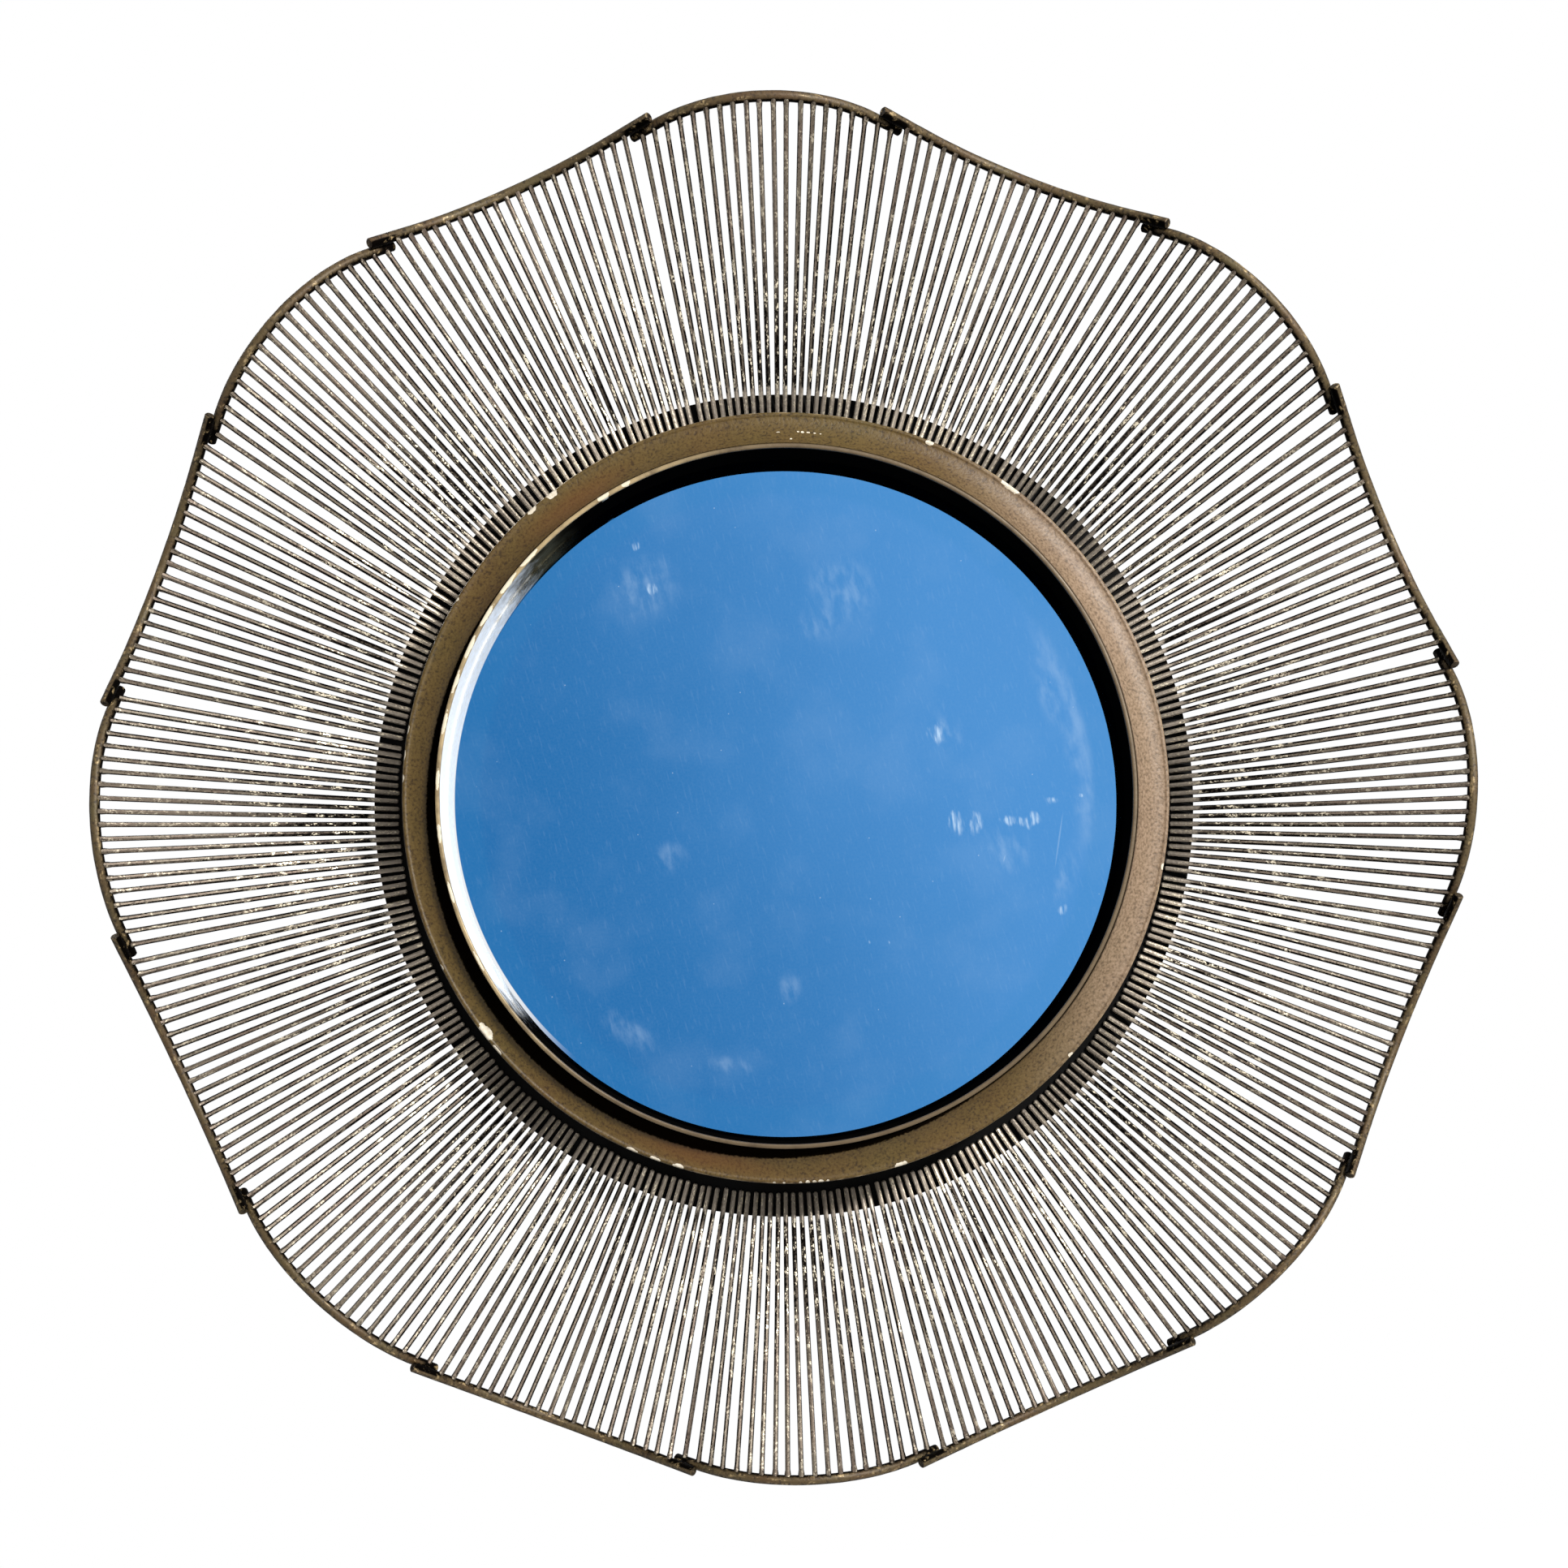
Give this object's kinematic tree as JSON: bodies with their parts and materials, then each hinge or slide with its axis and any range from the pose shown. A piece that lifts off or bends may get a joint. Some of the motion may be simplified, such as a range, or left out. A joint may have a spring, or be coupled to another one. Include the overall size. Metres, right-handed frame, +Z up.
{
  "type": "wave mirror",
  "caption": "Round wall mirror in a bronzed drum and ring, with a sunburst of straight metal wires ending in a waving rim.",
  "frame": {"origin": "centre of the mirror on the wall, where the bumpers rest", "axes": "+Y points into the wall, so the mirror faces -Y; +Z is up and +X is to the right of someone who faces it"},
  "size_m": [0.8986, 0.0969, 0.8986],
  "materials": {
    "bronzed_rod": "mottled bronze patina, satin",
    "bronzed_wire": "mottled bronze patina, satin",
    "bronzed_hoop": "bronze patina, satin",
    "cast_ring": "cast resin with a mottled bronze patina, chipped to its pale body",
    "mirror": "silvered plane glass",
    "cork": "raw cork",
    "hardboard": "raw hardboard",
    "dark_steel": "dark brown to black patina, satin",
    "zinc_steel": "zinc plated",
    "brassed_steel": "brass plated",
    "rubber": "matt"
  },
  "bodies": {
    "mirror": {"crest_bar_1": "bronzed_rod", "crest_bar_2": "bronzed_rod", "crest_bar_3": "bronzed_rod", "crest_bar_4": "bronzed_rod", "crest_bar_5": "bronzed_rod", "crest_bar_6": "bronzed_rod", "crest_bar_7": "bronzed_rod", "crest_bar_8": "bronzed_rod", "trough_bar_1": "bronzed_rod", "trough_bar_2": "bronzed_rod", "trough_bar_3": "bronzed_rod", "trough_bar_4": "bronzed_rod", "trough_bar_5": "bronzed_rod", "trough_bar_6": "bronzed_rod", "trough_bar_7": "bronzed_rod", "trough_bar_8": "bronzed_rod", "crest_wires_1": "bronzed_wire", "crest_wires_2": "bronzed_wire", "crest_wires_3": "bronzed_wire", "crest_wires_4": "bronzed_wire", "crest_wires_5": "bronzed_wire", "crest_wires_6": "bronzed_wire", "crest_wires_7": "bronzed_wire", "crest_wires_8": "bronzed_wire", "trough_wires_1": "bronzed_wire", "trough_wires_2": "bronzed_wire", "trough_wires_3": "bronzed_wire", "trough_wires_4": "bronzed_wire", "trough_wires_5": "bronzed_wire", "trough_wires_6": "bronzed_wire", "trough_wires_7": "bronzed_wire", "trough_wires_8": "bronzed_wire", "front_ring": "cast_ring", "mirror_hoop": "bronzed_hoop", "mirror_glass": "mirror", "glass_shims": "cork", "backing_board": "hardboard", "board_screws": "zinc_steel", "ring_screws": "zinc_steel", "drum_shell": "dark_steel", "hub_plate": "dark_steel", "drum_brackets": "zinc_steel", "bracket_rivets": "zinc_steel", "wall_bumpers": "rubber", "hanger_rivets": "zinc_steel", "hanger_strap_left": "brassed_steel", "hanger_strap_right": "brassed_steel"},
    "ring_left": {"hanger_ring_left": "brassed_steel"},
    "ring_right": {"hanger_ring_right": "brassed_steel"}
  },
  "joints": [
    {"name": "ring_left_swing", "type": "hinge", "parent": "mirror", "child": "ring_left", "pos_m": [-0.1299, -0.00325, 0.20002], "axis": [1, 0, 0], "range_deg": [0, 180]},
    {"name": "ring_right_swing", "type": "hinge", "parent": "mirror", "child": "ring_right", "pos_m": [0.1299, -0.00325, 0.20002], "axis": [1, 0, 0], "range_deg": [0, 180]}
  ]
}
